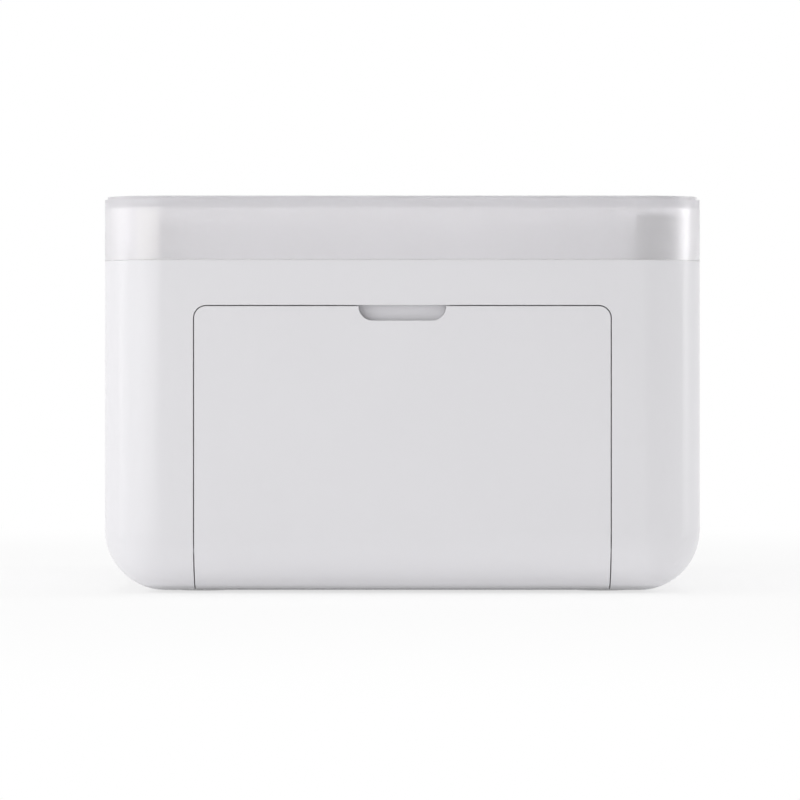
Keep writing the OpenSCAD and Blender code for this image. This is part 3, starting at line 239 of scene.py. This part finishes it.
def case_white():
    """Satin white case moulding, very slightly violet, with a faint grain."""
    material, _, surface = moulding(
        "case_white", colour=(0.735, 0.728, 0.750), roughness=0.33,
        grain_size=0.35 * MM, depth=0.006 * MM, spread=0.006)
    surface.inputs["IOR"].default_value = CASE_IOR
    return material


def frosted_lid():
    """Milky translucent lid: some light passes and blurs what lies behind."""
    material, tree, surface = moulding(
        "frosted_lid", colour=(0.955, 0.944, 0.96), roughness=0.32,
        grain_size=0.3 * MM, depth=0.008 * MM, spread=0.008)
    see_through(surface, share=0.66)
    let_light_in(tree, surface, LID_LIGHT)
    loss = node(tree, "ShaderNodeVolumeAbsorption")
    loss.inputs["Color"].default_value = (*LID_DEPTH_COLOUR, 1)
    loss.inputs["Density"].default_value = LID_DENSITY
    tree.links.new(loss.outputs["Volume"], tree.nodes["Material Output"].inputs["Volume"])
    return material


def smoke_plastic():
    """Lightly smoked clear cassette cover."""
    material, tree, surface = moulding(
        "smoke_plastic", colour=(0.86, 0.865, 0.88), roughness=0.2,
        grain_size=5 * MM, depth=0.004 * MM)
    see_through(surface, share=0.75)
    let_light_in(tree, surface, CLEAR_LIGHT)
    return material


def clear_plastic():
    """Clear light guide."""
    material, _, surface = moulding(
        "clear_plastic", colour=(0.90, 0.92, 0.93), roughness=0.08,
        grain_size=3 * MM, depth=0.003 * MM, spread=0.01)
    see_through(surface, share=0.9)
    return material


def dark_plastic():
    """Near-black moulding of inner parts."""
    return moulding(
        "dark_plastic", colour=(0.030, 0.030, 0.040), roughness=0.48,
        grain_size=0.4 * MM, depth=0.012 * MM, spread=0.1)[0]


def grey_plastic():
    """Light grey moulding."""
    return moulding(
        "grey_plastic", colour=(0.62, 0.62, 0.64), roughness=0.45,
        grain_size=0.4 * MM, depth=0.01 * MM, spread=0.03)[0]


def natural_plastic():
    """Undyed acetal of gears, bushes and spindles: waxy, with light in its depth."""
    material, _, surface = moulding(
        "natural_plastic", colour=(0.60, 0.59, 0.56), roughness=0.34,
        grain_size=0.6 * MM, depth=0.006 * MM)
    surface.inputs["Subsurface Weight"].default_value = 0.25
    surface.inputs["Subsurface Radius"].default_value = (1.2 * MM, 1.0 * MM, 0.8 * MM)
    surface.inputs["Subsurface Scale"].default_value = 1.0
    return material


def ceramic():
    """Smooth pale ceramic of the thermal head."""
    return moulding(
        "ceramic", colour=(0.72, 0.71, 0.66), roughness=0.16,
        grain_size=1.5 * MM, depth=0.002 * MM, spread=0.03)[0]


def foot_rubber():
    """Dull moulded rubber."""
    return moulding(
        "foot_rubber", colour=(0.045, 0.045, 0.048), roughness=0.8,
        grain_size=0.5 * MM, depth=0.03 * MM, spread=0.12)[0]


def roller_rubber():
    """Ground rubber: fine rings round the roller."""
    colour = (0.05, 0.05, 0.053)
    material, tree, surface = new_finish("roller_rubber", colour, roughness=0.72)
    rings = grain(tree, size=4 * MM, detail=3.0, squeeze=(1, 18, 1))
    tint(tree, surface, colour, rings, spread=0.15)
    relief(tree, surface, rings, depth=0.02 * MM)
    return material


def steel():
    """Ground steel with rings round the shafts, which lie along Y."""
    return metal(
        "steel", colour=(0.62, 0.63, 0.65), roughness=0.3,
        squeeze=(1, 14, 1), mark_size=3 * MM, depth=0.004 * MM)


def steel_sheet():
    """Zinc-plated sheet with a soft spangle."""
    colour = (0.60, 0.61, 0.62)
    crystal = 3.5 * MM
    material, tree, surface = new_finish("steel_sheet", colour, roughness=0.4, metallic=1.0)
    spangle = node(tree, "ShaderNodeTexVoronoi", feature="F1")
    spangle.inputs["Scale"].default_value = 1 / crystal
    tree.links.new(point(tree), spangle.inputs["Vector"])
    tint(tree, surface, colour, spangle.outputs["Color"], spread=0.07)
    vary_roughness(tree, surface, grain(tree, size=6 * MM), low=0.32, high=0.5)
    relief(tree, surface, grain(tree, size=0.4 * MM), depth=0.004 * MM)
    return material


def spring_steel():
    """Drawn wire, darker than the shafts."""
    return metal(
        "spring_steel", colour=(0.42, 0.43, 0.45), roughness=0.32,
        squeeze=(1, 6, 1), mark_size=1.2 * MM, depth=0.004 * MM)


def magnet():
    """Nickel plating with faint scratches."""
    return metal(
        "magnet", colour=(0.70, 0.69, 0.66), roughness=0.2,
        squeeze=(9, 1, 1), mark_size=2 * MM, depth=0.002 * MM, spread=0.03)


def motor_can():
    """Drawn steel of the motor cans, marked along Y, the drawing direction."""
    return metal(
        "motor_can", colour=(0.52, 0.53, 0.55), roughness=0.36,
        squeeze=(12, 1, 12), mark_size=6 * MM, depth=0.004 * MM)


def aluminium():
    """Extruded heat sink with die lines along its length, which is Y."""
    return metal(
        "aluminium", colour=(0.74, 0.75, 0.76), roughness=0.38,
        squeeze=(10, 1, 10), mark_size=5 * MM, depth=0.006 * MM, spread=0.03)


def brass():
    """Turned brass of the motor pinions, with rings from the tool."""
    return metal(
        "brass", colour=(0.72, 0.50, 0.20), roughness=0.28,
        squeeze=(1, 14, 1), mark_size=2 * MM, depth=0.004 * MM)


def circuit_board():
    """Green solder mask, lighter where it runs over the copper tracks."""
    colour = (0.012, 0.085, 0.035)
    pattern = 9 * MM
    material, tree, surface = new_finish("circuit_board", colour, roughness=0.3)
    tracks = node(tree, "ShaderNodeTexBrick", offset=0.35, squash=1.6, squash_frequency=3)
    tracks.inputs["Scale"].default_value = 1 / pattern
    tracks.inputs["Mortar Size"].default_value = 0.035
    tracks.inputs["Color1"].default_value = (*colour, 1)
    tracks.inputs["Color2"].default_value = (*shaded(colour, share=0.12), 1)
    tracks.inputs["Mortar"].default_value = (*shaded(colour, share=0.9), 1)
    turn = node(tree, "ShaderNodeMapping")
    turn.inputs["Rotation"].default_value = (math.radians(90), 0, 0)
    tree.links.new(point(tree), turn.inputs["Vector"])
    tree.links.new(turn.outputs["Vector"], tracks.inputs["Vector"])
    tree.links.new(tracks.outputs["Color"], surface.inputs["Base Color"])
    relief(tree, surface, tracks.outputs["Fac"], depth=0.03 * MM)
    return material


def paper():
    """Stack of coated sheets: a smooth face and layered edges."""
    colour = (0.88, 0.88, 0.89)
    layer = 1.2 * MM
    material, tree, surface = new_finish("paper", colour, roughness=0.3)
    sheets = node(tree, "ShaderNodeTexWave", bands_direction="Z", wave_profile="SIN")
    sheets.inputs["Scale"].default_value = 1 / layer
    sheets.inputs["Distortion"].default_value = 0.6
    tree.links.new(point(tree, squeeze=(0.05, 0.05, 1)), sheets.inputs["Vector"])
    tint(tree, surface, colour, sheets.outputs["Fac"], spread=0.06)
    vary_roughness(tree, surface, grain(tree, size=20 * MM), low=0.29, high=0.36)
    relief(tree, surface, sheets.outputs["Fac"], depth=0.03 * MM, radius=0.05 * MM)
    return material


def ribbon(name, first_panel, bar, next_panel, roughness):
    """Coated film with an index bar between two dye panels that follow along X."""
    material, tree, surface = new_finish(name, first_panel, roughness)
    where = node(tree, "ShaderNodeSeparateXYZ")
    tree.links.new(point(tree), where.inputs["Vector"])
    along = node(tree, "ShaderNodeMapRange")
    along.inputs["From Min"].default_value = lowest.x
    along.inputs["From Max"].default_value = highest.x
    tree.links.new(where.outputs["X"], along.inputs["Value"])
    stops = [(0.0, first_panel), (BAR_START, bar), (BAR_END, next_panel)]
    colour = ramp(tree, along.outputs["Result"], stops, interpolation="CONSTANT")
    tree.links.new(colour, surface.inputs["Base Color"])
    surface.inputs["Coat Weight"].default_value = 0.4
    ripples = grain(tree, size=8 * MM, squeeze=(1, 0.2, 1))
    relief(tree, surface, ripples, depth=0.08 * MM, radius=0.03 * MM)
    return material


def ribbon_gold():
    """Fresh ribbon: yellow panel, black index bar, red panel."""
    return ribbon(
        "ribbon_gold", first_panel=(0.72, 0.50, 0.05), bar=(0.02, 0.02, 0.02),
        next_panel=(0.60, 0.06, 0.22), roughness=0.22)


def ribbon_used():
    """Used ribbon on the take-up roll, duller."""
    return ribbon(
        "ribbon_used", first_panel=(0.34, 0.22, 0.12), bar=(0.02, 0.02, 0.02),
        next_panel=(0.30, 0.10, 0.16), roughness=0.34)


# Each finish has the name of its material slot in the record
FINISHES = [
    case_white, foot_rubber, steel, steel_sheet, spring_steel, magnet, motor_can, dark_plastic,
    grey_plastic, natural_plastic, smoke_plastic, clear_plastic, frosted_lid, circuit_board,
    paper, ribbon_gold, ribbon_used, aluminium, ceramic, brass, roller_rubber,
]


def dress_nodes():
    """Gives every CAD node the finish that its slot in the record names."""
    made = {finish.__name__: finish() for finish in FINISHES}
    for subpart in frame["record"]["subparts"]:
        shown = frame["nodes"][subpart["node"]]
        for slot in shown.material_slots:
            slot.material = made[subpart["material_slot"]]


# ---------------------------------------------------------------- surface joins

def smooth_joins():
    """Node group that welds a solid's faces together and shades gentle joins smooth."""
    group = bpy.data.node_groups.new("smooth_joins", "GeometryNodeTree")
    group.interface.new_socket("Geometry", in_out="INPUT", socket_type="NodeSocketGeometry")
    group.interface.new_socket("Geometry", in_out="OUTPUT", socket_type="NodeSocketGeometry")
    start = node(group, "NodeGroupInput")
    end = node(group, "NodeGroupOutput")
    weld = node(group, "GeometryNodeMergeByDistance")
    weld.inputs["Distance"].default_value = JOIN_GAP
    plain = node(group, "GeometryNodeRemoveAttribute")
    plain.inputs["Name"].default_value = "custom_normal"
    faces = node(group, "GeometryNodeSetShadeSmooth", domain="FACE")
    angle = node(group, "GeometryNodeInputMeshEdgeAngle")
    gentle = node(group, "FunctionNodeCompare", data_type="FLOAT", operation="LESS_THAN")
    gentle.inputs["B"].default_value = CREASE_ANGLE
    edges = node(group, "GeometryNodeSetShadeSmooth", domain="EDGE")
    link = group.links.new
    link(start.outputs["Geometry"], weld.inputs["Geometry"])
    link(weld.outputs["Geometry"], plain.inputs["Geometry"])
    link(plain.outputs["Geometry"], faces.inputs["Geometry"])
    link(faces.outputs["Geometry"], edges.inputs["Geometry"])
    link(angle.outputs["Unsigned Angle"], gentle.inputs["A"])
    link(gentle.outputs["Result"], edges.inputs["Shade Smooth"])
    link(edges.outputs["Geometry"], end.inputs["Geometry"])
    return group


def smooth_nodes():
    """Lets light run evenly over the tangent joins of every CAD node."""
    group = smooth_joins()
    for shown in frame["nodes"].values():
        joins = shown.modifiers.new("smooth_joins", "NODES")
        joins.node_group = group
        weighted = shown.modifiers.new("face_weights", "WEIGHTED_NORMAL")
        weighted.keep_sharp = True


# ---------------------------------------------------------------- studio

def seen_directly(tree):
    """1 for rays from the camera, off gloss or through clear parts, 0 for the rest."""
    path = node(tree, "ShaderNodeLightPath")
    first = node(tree, "ShaderNodeMath", operation="MAXIMUM")
    second = node(tree, "ShaderNodeMath", operation="MAXIMUM")
    tree.links.new(path.outputs["Is Camera Ray"], first.inputs[0])
    tree.links.new(path.outputs["Is Glossy Ray"], first.inputs[1])
    tree.links.new(first.outputs["Value"], second.inputs[0])
    tree.links.new(path.outputs["Is Transmission Ray"], second.inputs[1])
    return second.outputs["Value"]


def light_world():
    """Even studio light, with a white background where it is seen directly."""
    world = bpy.data.worlds.new("studio")
    bpy.context.scene.world = world
    world.use_nodes = True
    tree = world.node_tree
    light = tree.nodes["Background"]
    light.inputs["Color"].default_value = (*WHITE, 1)
    light.inputs["Strength"].default_value = AMBIENT
    white = node(tree, "ShaderNodeBackground")
    white.inputs["Color"].default_value = (*WHITE, 1)
    white.inputs["Strength"].default_value = BACKGROUND
    sides = light.outputs["Background"], white.outputs["Background"]
    shown = mixed(tree, seen_directly(tree), *sides)
    tree.links.new(shown, tree.nodes["World Output"].inputs["Surface"])


def shadow_share(tree):
    """Share of the floor's own shading that shows: less with distance from the object."""
    away = node(tree, "ShaderNodeVectorMath", operation="LENGTH")
    tree.links.new(point(tree), away.inputs[0])
    fade = node(tree, "ShaderNodeMapRange", interpolation_type="SMOOTHSTEP")
    fade.inputs["From Min"].default_value = SHADOW_FULL_TO
    fade.inputs["From Max"].default_value = SHADOW_GONE_FROM
    fade.inputs["To Min"].default_value = SHADOW_SHARE
    fade.inputs["To Max"].default_value = 0.0
    tree.links.new(away.outputs["Value"], fade.inputs["Value"])
    return fade.outputs["Result"]


def floor_finish():
    """Pale floor that reads as white and still takes part of the object's shadow."""
    material, tree, surface = new_finish("floor", FLOOR_COLOUR, roughness=0.9)
    surface.inputs["Specular IOR Level"].default_value = 0.0
    lit = node(tree, "ShaderNodeBsdfDiffuse")
    lit.inputs["Color"].default_value = (*SHADED_FLOOR_COLOUR, 1)
    white = node(tree, "ShaderNodeEmission")
    white.inputs["Strength"].default_value = BACKGROUND
    seen = mixed(tree, shadow_share(tree), white.outputs["Emission"], lit.outputs["BSDF"])
    shown = mixed(tree, seen_directly(tree), surface.outputs["BSDF"], seen)
    tree.links.new(shown, tree.nodes["Material Output"].inputs["Surface"])
    return material


def lay_floor():
    """Large floor under the feet."""
    half = FLOOR_SIZE / 2
    corners = [(-half, -half, 0), (half, -half, 0), (half, half, 0), (-half, half, 0)]
    mesh = bpy.data.meshes.new("floor")
    mesh.from_pydata(corners, [], [(0, 1, 2, 3)])
    floor = bpy.data.objects.new("floor", mesh)
    mesh.materials.append(floor_finish())
    bpy.context.scene.collection.objects.link(floor)


def softbox(name, place, width, height, radiance, target=centre):
    """Rectangular lamp of that radiance, in metres, turned towards the target."""
    lamp = bpy.data.lights.new(name, "AREA")
    lamp.shape = "RECTANGLE"
    lamp.size = width
    lamp.size_y = height
    lamp.energy = radiance * math.pi * width * height
    holder = bpy.data.objects.new(name, lamp)
    holder.location = place
    holder.rotation_euler = (Vector(target) - Vector(place)).to_track_quat("-Z", "Y").to_euler()
    bpy.context.scene.collection.objects.link(holder)
    return holder


def light_object():
    """Fill from the front, a box over the top and a strip at each side."""
    softbox("fill", place=(-0.55, -0.8, 0.2), width=0.8, height=0.4, radiance=2.15)
    softbox("overhead", place=(0.0, 0.1, 1.3), width=1.1, height=1.1, radiance=1.55)
    softbox("left_strip", place=(-0.9, -0.12, 0.32), width=0.36, height=0.62, radiance=2.6)
    softbox("right_strip", place=(0.9, 0.05, 0.32), width=0.18, height=0.62, radiance=6.0)


def light_underside():
    """Unseen light table just over the floor, for the rounded bottom edge."""
    just_over = (0, 0, 0.4 * MM)
    straight_up = (0, 0, 1)
    table = softbox(
        "light_table", place=just_over, width=0.9, height=0.9, radiance=0.21,
        target=straight_up)
    table.visible_camera = False
    table.visible_glossy = False


def place_camera():
    """Long lens, level, square to the cartridge door."""
    lens = bpy.data.cameras.new("camera")
    lens.sensor_width = SENSOR_WIDTH
    lens.lens = FOCAL_LENGTH
    lens.clip_start = NEAREST_SEEN
    lens.clip_end = FARTHEST_SEEN
    camera = bpy.data.objects.new("camera", lens)
    camera.location = (CAMERA_SIDE, lowest.y - CAMERA_DISTANCE, CAMERA_HEIGHT)
    camera.rotation_euler = (math.radians(90), 0, 0)
    bpy.context.scene.collection.objects.link(camera)
    bpy.context.scene.camera = camera


dress_nodes()
smooth_nodes()
lay_floor()
light_world()
light_object()
light_underside()
place_camera()
bpy.context.scene.view_settings.view_transform = "Standard"
